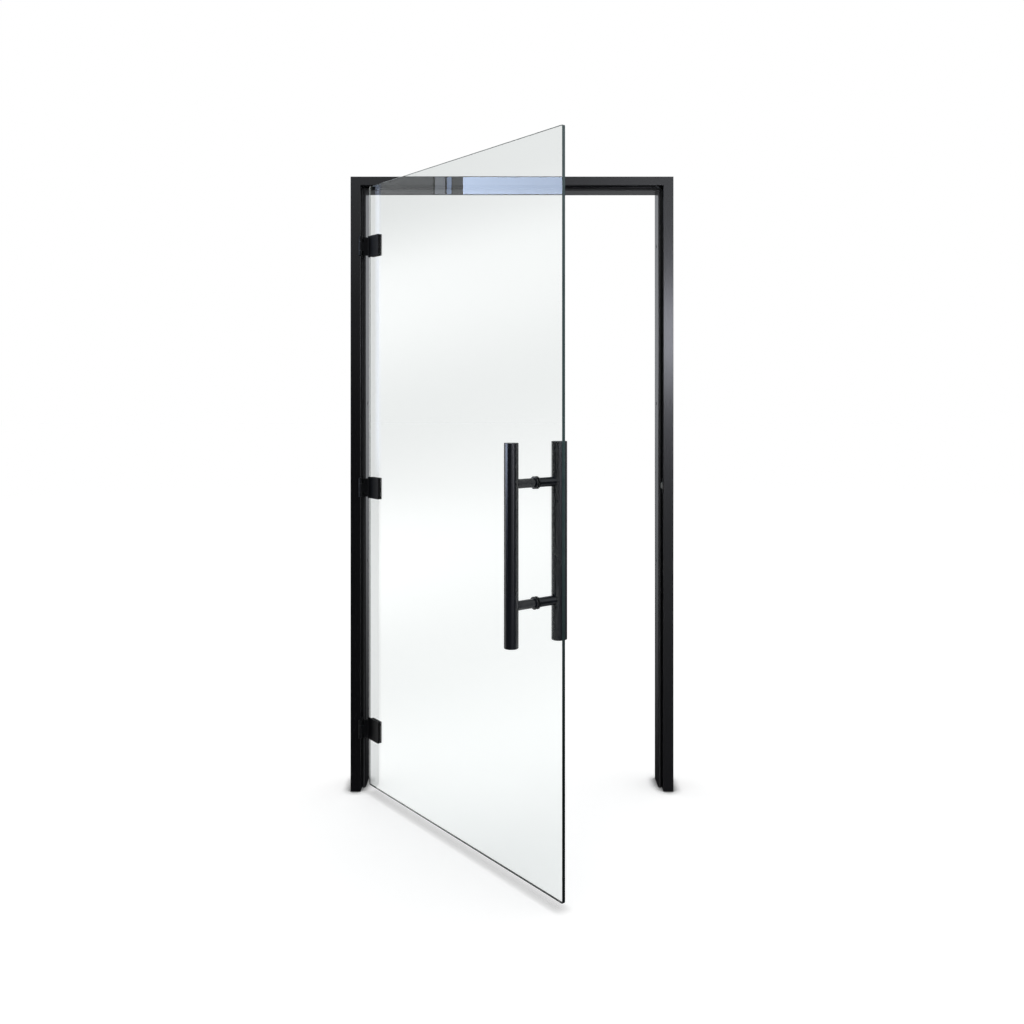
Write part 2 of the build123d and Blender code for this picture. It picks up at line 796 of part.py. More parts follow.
# Catch housing: a face plate on the rebate with a box behind it
with BuildPart() as catch_housing:
    with BuildSketch(jamb_plane(1, jamb_face, catch_depth, catch_height)):
        RectangleRounded(catch_plate_width, catch_plate_height, catch_plate_corner)
    extrude(amount=catch_plate_thickness)
    with BuildSketch(jamb_plane(1, jamb_face, catch_depth, catch_height)):
        Rectangle(cavity_width + 2 * housing_wall, cavity_height + 2 * housing_wall)
    extrude(amount=-housing_depth)
    with BuildSketch(jamb_plane(1, jamb_face + catch_plate_thickness, catch_depth, catch_height)):
        Rectangle(cavity_width, cavity_height)
    extrude(amount=-(catch_plate_thickness + housing_depth - housing_wall), mode=Mode.SUBTRACT)
    with Locations(*catch_screw_planes):
        CounterSinkHole(catch_screw_radius, catch_screw_head, catch_screw_length, screw_cone)
catch_housing.part.label = "catch_housing"
export_step(catch_housing.part, "parts/catch_housing.step")

with BuildPart() as catch_screws:
    add(
        countersunk_screws(
            catch_screw_planes,
            catch_screw_radius,
            catch_screw_head,
            catch_screw_length,
        )
    )
catch_screws.part.label = "catch_screws"
export_step(catch_screws.part, "parts/catch_screws.step")

# Catch slide: a fork that carries the roller between two cheeks
with BuildPart() as catch_slide:
    with BuildSketch(Plane.XY.offset(catch_height - slide_height / 2)):
        with Locations((slide_front, catch_depth)):
            Rectangle(
                slide_back - slide_front,
                cavity_width - 2 * slide_fit,
                align=(Align.MIN, Align.CENTER),
            )
        fillet(vertices().group_by(Axis.X)[0], radius=cheek_round)
    extrude(amount=slide_height)
    with BuildSketch(Plane.XY.offset(catch_height - roller_height / 2 - roller_end_gap)):
        with Locations((slide_front, catch_depth)):
            Rectangle(
                pocket_back - slide_front,
                cavity_width,
                align=(Align.MIN, Align.CENTER),
            )
    extrude(amount=roller_height + 2 * roller_end_gap, mode=Mode.SUBTRACT)
    with Locations((roller_x, catch_depth, catch_height + slide_height / 2)):
        Hole(roller_pin_radius, slide_height)
catch_slide.part.label = "catch_slide"
export_step(catch_slide.part, "parts/catch_slide.step")

# Roller and its pin
with BuildPart() as catch_roller:
    with BuildSketch(Plane.XY.offset(catch_height - roller_height / 2)):
        with Locations((roller_x, catch_depth)):
            Circle(roller_radius)
    extrude(amount=roller_height)
    chamfer(edges().filter_by(GeomType.CIRCLE), length=roller_edge)
    with Locations((roller_x, catch_depth, catch_height + roller_height / 2)):
        Hole(roller_pin_radius + running_clearance, roller_height)
catch_roller.part.label = "catch_roller"
export_step(catch_roller.part, "parts/catch_roller.step")

with BuildPart() as catch_pin:
    with BuildSketch(Plane.XY.offset(catch_height - slide_height / 2)):
        with Locations((roller_x, catch_depth)):
            Circle(roller_pin_radius)
    extrude(amount=slide_height)
catch_pin.part.label = "catch_pin"
export_step(catch_pin.part, "parts/catch_pin.step")

# Bowed strip spring between the slide and the back of the housing
spring_end = cavity_height / 2 - catch_spring_end_gap
with BuildPart() as catch_spring:
    with BuildSketch(Plane((0, catch_depth, catch_height), x_dir=(1, 0, 0), z_dir=(0, -1, 0))):
        with BuildLine():
            outer_bow = ThreePointArc((cavity_back, -spring_end), (slide_back, 0), (cavity_back, spring_end))
            inner_bow = ThreePointArc(
                (cavity_back, -spring_end + catch_spring_strip),
                (slide_back + catch_spring_strip, 0),
                (cavity_back, spring_end - catch_spring_strip),
            )
            Line(outer_bow @ 0, inner_bow @ 0)
            Line(outer_bow @ 1, inner_bow @ 1)
        make_face()
    extrude(amount=catch_spring_width / 2, both=True)
catch_spring.part.label = "catch_spring"
export_step(catch_spring.part, "parts/catch_spring.step")
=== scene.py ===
# %% [markdown]
# # A clear glass door in a black frame
# The object is a frameless glass leaf, hung on three clamp hinges in a mitred black frame, with a
# tube pull on both faces. Its shape and sizes come from the imported CAD model, in metres, so this
# lesson is about the finishes, the small screws and the light. The model is loaded first. Nothing
# that is added here may make the object larger.

import json
import math

import bpy
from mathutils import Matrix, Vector


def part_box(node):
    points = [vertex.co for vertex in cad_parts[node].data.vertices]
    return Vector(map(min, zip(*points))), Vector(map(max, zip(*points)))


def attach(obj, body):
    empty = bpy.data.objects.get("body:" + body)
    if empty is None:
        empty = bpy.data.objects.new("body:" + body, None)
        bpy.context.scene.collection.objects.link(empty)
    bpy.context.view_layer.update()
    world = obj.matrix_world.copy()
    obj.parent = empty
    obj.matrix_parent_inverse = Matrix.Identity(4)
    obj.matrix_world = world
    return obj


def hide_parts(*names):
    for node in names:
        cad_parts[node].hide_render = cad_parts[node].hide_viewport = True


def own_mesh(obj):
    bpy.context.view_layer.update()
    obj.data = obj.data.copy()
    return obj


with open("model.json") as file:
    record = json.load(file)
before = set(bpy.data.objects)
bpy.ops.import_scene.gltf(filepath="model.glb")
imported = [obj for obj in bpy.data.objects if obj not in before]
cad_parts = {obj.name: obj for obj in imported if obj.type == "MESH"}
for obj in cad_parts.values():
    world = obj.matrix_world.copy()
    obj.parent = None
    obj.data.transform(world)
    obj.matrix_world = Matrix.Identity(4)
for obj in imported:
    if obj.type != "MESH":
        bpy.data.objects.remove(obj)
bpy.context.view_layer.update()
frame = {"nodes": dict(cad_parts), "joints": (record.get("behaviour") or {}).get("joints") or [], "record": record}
nodes = frame["nodes"]

# %% [markdown]
# ## The camera
# The photograph was taken with a level camera, so all uprights are parallel, and the horizon lies
# above the middle of the picture. A level camera with a vertical lens shift gives both. Tilting the
# camera down would frame the door as well, but the jambs would then lean.

# %% A level camera with a shifted lens
EYE = Vector((0.0, -3.368, 1.319))
LENS_MM = 35.85
SENSOR_MM = 36.0
HORIZON_SHIFT = -0.1168
lens = bpy.data.cameras.new("studio_camera")
lens.lens = LENS_MM
lens.sensor_width = SENSOR_MM
lens.shift_y = HORIZON_SHIFT
camera = bpy.data.objects.new("studio_camera", lens)
camera.location = EYE
camera.rotation_euler = (math.radians(90), 0, 0)
bpy.context.scene.collection.objects.link(camera)
bpy.context.scene.camera = camera
print("camera at", tuple(EYE), "lens", LENS_MM, "mm")

# %% [markdown]
# ## Small helpers
# Colours are written as the sRGB values that one sees on a screen, and a shader works in linear
# light, so one function turns the first into the second. `put` adds a node: a value that is an
# output socket is linked, and any other is set. The others add the nodes that are used most. A Mix
# node has sockets of the same names for numbers and for colours, so they are picked by number.

# %% Helpers for colours and nodes
def linear(code):
    parts = [int(code[i : i + 2], 16) / 255 for i in (1, 3, 5)]
    return [c / 12.92 if c <= 0.04045 else ((c + 0.055) / 1.055) ** 2.4 for c in parts] + [1.0]


def put(tree, kind, inputs=None, **properties):
    node = tree.nodes.new(kind)
    for name, value in properties.items():
        setattr(node, name, value)
    for name, value in (inputs or {}).items():
        if isinstance(value, bpy.types.NodeSocket):
            tree.links.new(value, node.inputs[name])
        else:
            node.inputs[name].default_value = value
    return node


def empty_finish(name):
    finish = bpy.data.materials.new(name)
    finish.use_nodes = True
    finish.node_tree.nodes.clear()
    return finish, finish.node_tree


print("black in linear light:", [round(c, 4) for c in linear("#0c0c0e")])

# %% Helpers for sums, ramps and mixes
def calc(tree, operation, *values):
    return put(tree, "ShaderNodeMath", dict(enumerate(values)), operation=operation).outputs[0]


def ramp(tree, value, start, end, low, high, shape="SMOOTHSTEP"):
    inputs = {"Value": value, "From Min": start, "From Max": end, "To Min": low, "To Max": high}
    return put(tree, "ShaderNodeMapRange", inputs, interpolation_type=shape).outputs["Result"]


def mix_number(tree, factor, first, second):
    inputs = {0: factor, 2: first, 3: second}
    return put(tree, "ShaderNodeMix", inputs, data_type="FLOAT").outputs[0]


def mix_colour(tree, factor, first, second):
    inputs = {0: factor, 6: first, 7: second}
    return put(tree, "ShaderNodeMix", inputs, data_type="RGBA").outputs[2]


def mix_shader(tree, factor, first, second):
    inputs = {0: factor, 1: first, 2: second}
    return put(tree, "ShaderNodeMixShader", inputs).outputs["Shader"]


print("helpers for nodes are ready")

# %% Helpers for texture, all measured in millimetres
def own_place(tree):
    return put(tree, "ShaderNodeTexCoord").outputs["Object"]


def noise(tree, place, size_mm, detail):
    inputs = {"Vector": place, "Scale": 1000.0 / size_mm, "Detail": detail}
    return put(tree, "ShaderNodeTexNoise", inputs).outputs["Fac"]


def bump(tree, height, strength, depth_mm):
    inputs = {"Strength": strength, "Distance": depth_mm / 1000, "Height": height}
    return put(tree, "ShaderNodeBump", inputs).outputs["Normal"]


print("helpers for texture are ready")

# %% [markdown]
# ## Black powder coat
# The frame is extruded aluminium with a polyester powder coat, baked on. It is a satin paint film:
# dark, with soft reflections and the faint ripple that is called orange peel. The ripple could be
# modelled, but it is only hundredths of a millimetre deep, so a bump of noise a few millimetres wide
# does it. A second, wide noise moves the tone and the gloss slightly, as a sprayed film does over
# two metres. `shine` is how much of the light the film mirrors. The hinges get a dull film that
# mirrors little, and the pull a glossier one with a blue cast.

# %% Powder coat finish
CLOUD_MM = 420
FILM_IOR = 1.5
PEEL_STRENGTH = 0.5


def powder_coat(name, dark, pale, gloss_range, peel_mm, ripple_mm, shine):
    finish, tree = empty_finish(name)
    place = own_place(tree)
    cloud = noise(tree, place, CLOUD_MM, 3.0)
    peel = noise(tree, place, peel_mm, 2.0)
    film = put(
        tree,
        "ShaderNodeBsdfPrincipled",
        {
            "Base Color": mix_colour(tree, cloud, linear(dark), linear(pale)),
            "Roughness": ramp(tree, cloud, 0.3, 0.7, *gloss_range, "LINEAR"),
            "IOR": FILM_IOR,
            "Specular IOR Level": shine,
            "Normal": bump(tree, peel, PEEL_STRENGTH, ripple_mm),
        },
    )
    put(tree, "ShaderNodeOutputMaterial", {"Surface": film.outputs["BSDF"]})
    print("finish", name, "with peel of", peel_mm, "mm")
    return finish


COAT = "satin_black_powder_coat_"
frame_coat = powder_coat(COAT + "frame", "#08080a", "#0c0b0e", (0.20, 0.24), 2.5, 0.012, 0.5)
hinge_coat = powder_coat(COAT + "hinge", "#08090a", "#0b0b0d", (0.46, 0.54), 2.0, 0.012, 0.15)
pull_coat = powder_coat(COAT + "pull", "#090a0f", "#0d1017", (0.24, 0.30), 2.0, 0.010, 0.5)

# %% [markdown]
# ## Which way the door stands
# The door is modelled open, so its own directions, along the leaf, through it and up, are turned
# from the frame's axes. The record's hinge says where its axis is and how far the door is open. The
# glass finish and the door's screws both need these directions.

# %% Directions of the open door
swing = next(joint for joint in frame["joints"] if joint["name"] == "door_swing")
OPEN = math.radians(-swing["range_deg"][0])
ALONG = Vector((math.cos(OPEN), -math.sin(OPEN), 0))
THROUGH = Vector((math.sin(OPEN), math.cos(OPEN), 0))
RIGHT, UP = Vector((1, 0, 0)), Vector((0, 0, 1))
HINGE_AXIS = Vector((swing["pos_m"][0], swing["pos_m"][1], 0))


def on_door(along, back, up):
    return HINGE_AXIS + ALONG * along + THROUGH * back + UP * up


print("door open by", round(math.degrees(OPEN), 1), "degrees")

# %% [markdown]
# ## Clear toughened glass
# The leaf is 10 mm float glass, toughened, with ground and polished edges. Its faces are clear, and
# a faint absorption inside the solid tints each ray by the length that it travels. They have a very
# slight waviness, from the rollers of the furnace.
#
# The edges are dark blue-green, because light runs a long way inside the sheet to reach them, and
# they scatter some of it, because grinding leaves them less smooth than the faces. Towards the floor
# their colour is painted darker and less clear: painted shade, for the light that gets in less there.
# The top edge is painted paler and clearer: a painted highlight of the light from above. The bottom
# corner is ground off too; the dark line there is painted shade, from the lowest 3 mm of the faces
# getting the dark edge finish. A second object for the edges would leave a seam, so one finish does
# both: where the normal lies in the plane of the sheet, or the height is within that band, it is an edge.

# %% Glass: where its edges are
PAINTED_SHADE_LINE_MM = 3.0
TOP_EDGE_MM = 1.5
EDGE_TURN = 0.9
glass_low, glass_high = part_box("glass_panel")
PAINTED_SHADE_LINE_TOP = glass_low[2] + PAINTED_SHADE_LINE_MM / 1000
TOP_EDGE = glass_high[2] - TOP_EDGE_MM / 1000
glass, tree = empty_finish("clear_toughened_glass")
coordinates = put(tree, "ShaderNodeTexCoord").outputs
face_turn = put(
    tree,
    "ShaderNodeVectorMath",
    {0: coordinates["Normal"], 1: THROUGH},
    operation="DOT_PRODUCT",
).outputs["Value"]
turned_away = calc(tree, "LESS_THAN", calc(tree, "ABSOLUTE", face_turn), EDGE_TURN)
height = put(tree, "ShaderNodeSeparateXYZ", {"Vector": coordinates["Object"]}).outputs["Z"]
# A painted shade line: the lowest band of the faces gets the dark edge finish.
on_painted_shade_line = calc(tree, "LESS_THAN", height, PAINTED_SHADE_LINE_TOP)
on_edge = calc(tree, "MAXIMUM", turned_away, on_painted_shade_line)
on_top = calc(tree, "GREATER_THAN", height, TOP_EDGE)
# Painted shade: the edges darken from 0.3 m down to the floor.
painted_shade_low_down = ramp(tree, height, 0.3, 1.3, 1.0, 0.0)
print("glass edges: below", round(PAINTED_SHADE_LINE_TOP, 4), "m, above", round(TOP_EDGE, 4), "m and all round")

# %% Glass: colour and clearness of the faces and edges
GRINDING_MM = 40
EDGE_CLEAR = 0.35
TOP_CLEAR = 0.45
grinding = noise(tree, coordinates["Object"], GRINDING_MM, 2.0)
lit_tone = mix_colour(tree, grinding, linear("#3c5152"), linear("#5a7172"))
# Lower down the edge colour turns near black: painted shade.
painted_shade_tone = mix_colour(tree, painted_shade_low_down, lit_tone, linear("#0b1314"))
# The top edge gets a pale colour: a painted highlight of the light from above.
painted_highlight_tone = mix_colour(tree, on_top, painted_shade_tone, linear("#dde5e4"))
tone = mix_colour(tree, on_edge, linear("#ffffff"), painted_highlight_tone)
# Lower down the edges are also made less clear, which is part of the same painted shade.
painted_shade_clear = ramp(tree, painted_shade_low_down, 0.0, 1.0, EDGE_CLEAR, 0.0, "LINEAR")
# The top edge is made clearer too, which brightens that painted highlight.
edge_clear = calc(tree, "MULTIPLY_ADD", on_top, TOP_CLEAR, painted_shade_clear)
clear = mix_number(tree, on_edge, 1.0, edge_clear)
print("edges let through", EDGE_CLEAR, "of the light, and the top edge", TOP_CLEAR, "more")

# %% [markdown]
# A ray that goes from the floor to a lamp would be bent by the sheet and miss it. So rays that look
# for a lamp pass straight through: each face holds back a few hundredths, and the edges nearly all.
# This gives the leaf its pale shadow with a dark line under the glass.

# %% Glass: the sheet, its shadow and its inside
GLASS_IOR = 1.52
EDGE_ROUGHNESS = 0.16
ROLLER_WAVE_MM = 300
GLASS_TINT = "#bcc9c6"
GLASS_DENSITY = 27.0
roller_wave = noise(tree, coordinates["Object"], ROLLER_WAVE_MM, 0.0)
sheet = put(
    tree,
    "ShaderNodeBsdfPrincipled",
    {
        "Base Color": tone,
        "Roughness": calc(tree, "MULTIPLY", on_edge, EDGE_ROUGHNESS),
        "IOR": GLASS_IOR,
        "Transmission Weight": clear,
        "Normal": bump(tree, roller_wave, 0.02, 0.5),
    },
)
passed = mix_colour(tree, on_edge, linear("#f6faf9"), linear("#0c1111"))
lamp_light = put(tree, "ShaderNodeBsdfTransparent", {"Color": passed})
shadow_ray = put(tree, "ShaderNodeLightPath").outputs["Is Shadow Ray"]
pane = mix_shader(tree, shadow_ray, sheet.outputs["BSDF"], lamp_light.outputs["BSDF"])
inside = put(
    tree,
    "ShaderNodeVolumeAbsorption",
    {"Color": linear(GLASS_TINT), "Density": GLASS_DENSITY},
)
put(tree, "ShaderNodeOutputMaterial", {"Surface": pane, "Volume": inside.outputs["Volume"]})
print("finish", glass.name, "absorbing at", GLASS_DENSITY, "per metre")

# %% [markdown]
# ## Rubber, nylon and bare metal
# The seals and gaskets are extruded EPDM rubber, which is matt with a faint bloom. The sleeves, the
# roller and its slide are moulded nylon, grey and slightly translucent, and the hinges' bushes are of
# black nylon. Pins, studs and plates are turned or rolled steel, whose tool marks run round or along
# them, and the cleats are aluminium as it leaves the press. Each gets its own bump, from the size of
# its real marks.

# %% Rubber finish
BLOOM_MM = 25
GRAIN_MM = 0.8
rubber, tree = empty_finish("extruded_epdm_rubber")
place = own_place(tree)
bloom = noise(tree, place, BLOOM_MM, 4.0)
grain = noise(tree, place, GRAIN_MM, 2.0)
matt_rubber = put(
    tree,
    "ShaderNodeBsdfPrincipled",
    {
        "Base Color": mix_colour(tree, bloom, linear("#0d0d0d"), linear("#181818")),
        "Roughness": 0.72,
        "IOR": 1.52,
        "Normal": bump(tree, grain, 0.4, 0.1),
    },
)
put(tree, "ShaderNodeOutputMaterial", {"Surface": matt_rubber.outputs["BSDF"]})
print("finish", rubber.name)

# %% Nylon finish
FLOW_MM = 6


def moulded_nylon(name, dark, pale):
    finish, tree = empty_finish(name)
    flow = noise(tree, own_place(tree), FLOW_MM, 3.0)
    nylon = put(
        tree,
        "ShaderNodeBsdfPrincipled",
        {
            "Base Color": mix_colour(tree, flow, linear(dark), linear(pale)),
            "Roughness": 0.45,
            "IOR": 1.53,
            "Subsurface Weight": 0.1,
            "Subsurface Scale": 0.002,
            "Normal": bump(tree, flow, 0.25, 0.1),
        },
    )
    put(tree, "ShaderNodeOutputMaterial", {"Surface": nylon.outputs["BSDF"]})
    print("finish", name)
    return finish


grey_nylon = moulded_nylon("moulded_grey_nylon", "#5e5e5d", "#6e6e6b")
black_nylon = moulded_nylon("moulded_black_nylon", "#0e0e0f", "#161617")

# %% Bare and blackened metal finishes
def machined(name, dark, pale, mark_mm, stretch, roughness):
    finish, tree = empty_finish(name)
    lay = put(tree, "ShaderNodeMapping", {"Vector": own_place(tree), "Scale": stretch})
    marks = noise(tree, lay.outputs["Vector"], mark_mm, 4.0)
    metal = put(
        tree,
        "ShaderNodeBsdfPrincipled",
        {
            "Base Color": mix_colour(tree, marks, linear(dark), linear(pale)),
            "Metallic": 1.0,
            "Roughness": roughness,
            "Normal": bump(tree, marks, 0.3, 0.05),
        },
    )
    put(tree, "ShaderNodeOutputMaterial", {"Surface": metal.outputs["BSDF"]})
    print("finish", name, "with marks of", mark_mm, "mm")
    return finish


steel = machined("turned_bright_steel", "#a6a7a9", "#c9cacc", 0.6, (0.1, 0.1, 1.0), 0.28)
aluminium = machined("mill_finish_aluminium", "#b4b5b7", "#cfd0d1", 0.8, (1.0, 0.05, 1.0), 0.4)
blackened = machined("black_oxide_steel", "#141416", "#1f2022", 0.8, (1.0, 1.0, 1.0), 0.38)

# %% [markdown]
# ## Each node gets its finish
# The record says which material slot each CAD node has, and each slot has one finish here. The pull
# is made of the same class of metal as the hinges, but its film is glossier, so its nodes are
# picked out by name.

# %% Give the finishes to the nodes
finish_of_slot = {
    "frame_powder_coat": frame_coat,
    "mill_aluminium": aluminium,
    "clear_glass": glass,
    "black_rubber": rubber,
    "black_painted_metal": hinge_coat,
    "bright_steel": steel,
    "blackened_steel": blackened,
    "pale_nylon": grey_nylon,
    "black_nylon": black_nylon,
}
slot_of_node = {part["node"]: part["material_slot"] for part in frame["record"]["subparts"]}
pull_words = ("pull_bar", "bar_caps", "post", "collar")
for name, node in nodes.items():
    finish = finish_of_slot[slot_of_node[name]]
    if name.endswith(pull_words):
        finish = pull_coat
    for slot in node.material_slots:
        slot.material = finish
print("nodes with a finish:", len(nodes))

# %% [markdown]
# ## Screws with hexagon sockets
# The hinges, the cleats and the catch are held by countersunk screws with a hexagon socket. The
# CAD screws are plain, so each set is replaced. Twenty-eight screws of four sizes could be modelled
# one by one. A Geometry Nodes tree is better: it builds one screw from named sizes, cuts the
# socket with a boolean, and stands a copy on each seat, turned along the seat's own direction.

# %% The sizes that the tree is given
screw_tree = bpy.data.node_groups.new("socket_screws", "GeometryNodeTree")
screw_tree.interface.new_socket("Seats", in_out="INPUT", socket_type="NodeSocketGeometry")
SCREW_SIZES = ("Head radius", "Shank radius", "Length", "Socket radius", "Socket depth")
for size in SCREW_SIZES:
    screw_tree.interface.new_socket(size, in_out="INPUT", socket_type="NodeSocketFloat")
screw_tree.interface.new_socket("Finish", in_out="INPUT", socket_type="NodeSocketMaterial")
screw_tree.interface.new_socket("Screws", in_out="OUTPUT", socket_type="NodeSocketGeometry")
given = put(screw_tree, "NodeGroupInput").outputs


def at_height(mesh, up):
    place = put(screw_tree, "ShaderNodeCombineXYZ", {"Z": up}).outputs[0]
    inputs = {"Geometry": mesh, "Translation": place}
    return put(screw_tree, "GeometryNodeTransform", inputs).outputs["Geometry"]


print("screw sizes:", ", ".join(SCREW_SIZES))

# %% A countersunk head with a hexagon socket
HEAD_SIDES = 48
head_height = calc(screw_tree, "SUBTRACT", given["Head radius"], given["Shank radius"])
head = put(
    screw_tree,
    "GeometryNodeMeshCone",
    {
        "Vertices": HEAD_SIDES,
        "Radius Top": given["Head radius"],
        "Radius Bottom": given["Shank radius"],
        "Depth": head_height,
    },
)
seated_head = at_height(head.outputs["Mesh"], calc(screw_tree, "MULTIPLY", head_height, -1.0))
through_top = calc(screw_tree, "MULTIPLY", given["Socket depth"], 2.0)
hexagon = put(
    screw_tree,
    "GeometryNodeMeshCylinder",
    {"Vertices": 6, "Radius": given["Socket radius"], "Depth": through_top},
)
socketed = put(
    screw_tree,
    "GeometryNodeMeshBoolean",
    {"Mesh 1": seated_head, "Mesh 2": hexagon.outputs["Mesh"]},
    operation="DIFFERENCE",
)
print("head of", HEAD_SIDES, "sides with a hexagon socket")

# %% A plain shank below the head
SHANK_SIDES = 32
shank_length = calc(screw_tree, "SUBTRACT", given["Length"], head_height)
shank = put(
    screw_tree,
    "GeometryNodeMeshCylinder",
    {"Vertices": SHANK_SIDES, "Radius": given["Shank radius"], "Depth": shank_length},
)
both_ends = calc(screw_tree, "ADD", given["Length"], head_height)
seated_shank = at_height(shank.outputs["Mesh"], calc(screw_tree, "MULTIPLY", both_ends, -0.5))
screw = put(screw_tree, "GeometryNodeJoinGeometry", {"Geometry": socketed.outputs["Mesh"]})
screw_tree.links.new(seated_shank, screw.inputs["Geometry"])
print("shank of", SHANK_SIDES, "sides")

# %% A copy on each seat
aim = put(screw_tree, "GeometryNodeInputNamedAttribute", {"Name": "aim"}, data_type="FLOAT_VECTOR")
turn = put(
    screw_tree,
    "FunctionNodeAlignRotationToVector",
    {"Vector": aim.outputs["Attribute"]},
    axis="Z",
)
copies = put(
    screw_tree,
    "GeometryNodeInstanceOnPoints",
    {
        "Points": given["Seats"],
        "Instance": screw.outputs["Geometry"],
        "Rotation": turn.outputs["Rotation"],
    },
)
real = put(screw_tree, "GeometryNodeRealizeInstances", {"Geometry": copies.outputs["Instances"]})
painted = put(
    screw_tree,
    "GeometryNodeSetMaterial",
    {"Geometry": real.outputs["Geometry"], "Material": given["Finish"]},
)
put(screw_tree, "NodeGroupOutput", {"Screws": painted.outputs["Geometry"]})
print("screw tree with", len(screw_tree.nodes), "nodes")

# %% A set of screws on its seats
def screw_set(name, seats, sizes_mm, finish):
    points = bpy.data.meshes.new(name + "_seats")
    points.from_pydata([place for place, _ in seats], [], [])
    aims = points.attributes.new("aim", "FLOAT_VECTOR", "POINT")
    for i, (_, direction) in enumerate(seats):
        aims.data[i].vector = direction
    stand = bpy.data.objects.new(name + "_seats", points)
    bpy.context.scene.collection.objects.link(stand)
    maker = stand.modifiers.new("screws", "NODES")
    maker.node_group = screw_tree
    sockets = [item for item in screw_tree.interface.items_tree if item.in_out == "INPUT"]
    identifiers = {socket.name: socket.identifier for socket in sockets}
    for size, value in zip(SCREW_SIZES, sizes_mm):
        maker[identifiers[size]] = value / 1000
    maker[identifiers["Finish"]] = finish
    made = stand.evaluated_get(bpy.context.evaluated_depsgraph_get())
    mesh = bpy.data.meshes.new_from_object(made)
    bpy.data.objects.remove(stand)
    piece = bpy.data.objects.new(name, mesh)
    bpy.context.scene.collection.objects.link(piece)
    print(name, "screws:", len(seats), "faces:", len(mesh.polygons))
    return piece


print("a set takes", len(SCREW_SIZES), "sizes in millimetres")

# %% [markdown]
# ## Where the screws sit
# A seat is a point on the outer face and the direction that the head looks in. On the frame both
# lie along the axes. On the door they are written along the leaf, through it and up.

# %% Seats of the hinges' screws
PLACES = ("lower", "middle", "upper")
HINGES = [sum(corner[2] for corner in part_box(place + "_jamb_leaf")) / 2 for place in PLACES]
LEAF_X, LEAF_Y = -0.498, 0.019
LEAF_ACROSS, LEAF_UP = 0.008, 0.019
leaf_seats = [
    (Vector((LEAF_X, LEAF_Y + across * LEAF_ACROSS, hinge + up * LEAF_UP)), RIGHT)
    for hinge in HINGES
    for across in (-1, 1)
    for up in (-1, 1)
]
CLAMP_ALONG, CLAMP_BACK, CLAMP_UP = 0.041875, 0.0463, 0.018
clamp_seats = [
    (on_door(CLAMP_ALONG, CLAMP_BACK, hinge + up * CLAMP_UP), THROUGH)
    for hinge in HINGES
    for up in (-1, 1)
]
print("hinge seats:", len(leaf_seats), "on the leaves,", len(clamp_seats), "on the clamps")

# %% Seats of the cleats' and the catch's screws
HALF_WIDTH, HEIGHT = 0.5335, 2.032
CLEAT_Y, CLEAT_ACROSS, CLEAT_INSET = 0.08325, 0.018, 0.072
corner_seats = []
for side in (-1, 1):
    for across in (-1, 1):
        depth = CLEAT_Y + across * CLEAT_ACROSS
        on_jamb = Vector((side * HALF_WIDTH, depth, HEIGHT - CLEAT_INSET))
        on_head = Vector((side * (HALF_WIDTH - CLEAT_INSET), depth, HEIGHT))
        corner_seats += [(on_jamb, RIGHT * side), (on_head, UP)]
CATCH_X, CATCH_UP = 0.499, 0.0185
catch_low, catch_high = (Vector(corner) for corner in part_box("catch_screws"))
catch_middle = (catch_low + catch_high) / 2
catch_seats = [
    (Vector((CATCH_X, catch_middle.y, catch_middle.z + up * CATCH_UP)), -RIGHT) for up in (-1, 1)
]
print("other seats:", len(corner_seats), "on the corners,", len(catch_seats), "on the catch")

# %% Make the four sets and let them ride
screw_sets = (
    ("leaf_socket_screws", "leaf_screws", "frame", leaf_seats, (4.5, 2.5, 11.0, 1.75, 1.7), blackened),
    ("clamp_socket_screws", "clamp_screws", "door", clamp_seats, (6.0, 3.0, 18.8, 2.3, 2.2), blackened),
    ("cleat_socket_screws", "corner_screws", "frame", corner_seats, (4.6, 2.5, 8.0, 1.75, 1.7), steel),
    ("catch_socket_screws", "catch_screws", "frame", catch_seats, (2.7, 1.5, 8.0, 1.1, 0.9), blackened),
)
for name, node, body, seats, sizes_mm, finish in screw_sets:
    piece = screw_set(name, seats, sizes_mm, finish)
    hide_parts(node)
    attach(piece, body)

# %% [markdown]
# ## The catch's bowed spring
# Behind the roller a bowed strip of spring steel pushes the slide out. When the door presses the
# roller in, the bow flattens against the back of its box. The strip is made again here, as a ribbon
# with a thickness, in its bowed shape.

# %% The bow's radius, from the CAD spring's box
spring_low, spring_high = (Vector(corner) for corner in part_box("catch_spring"))
bow_depth = spring_high.x - spring_low.x
half_chord = (spring_high.z - spring_low.z) / 2
bow_radius = (half_chord**2 + bow_depth**2) / (2 * bow_depth)
bow_centre = Vector((spring_low.x + bow_radius, 0, (spring_low.z + spring_high.z) / 2))
half_angle = math.asin(half_chord / bow_radius)
print("bow of", round(bow_depth * 1000, 2), "mm depth and", round(bow_radius * 1000, 2), "mm radius")

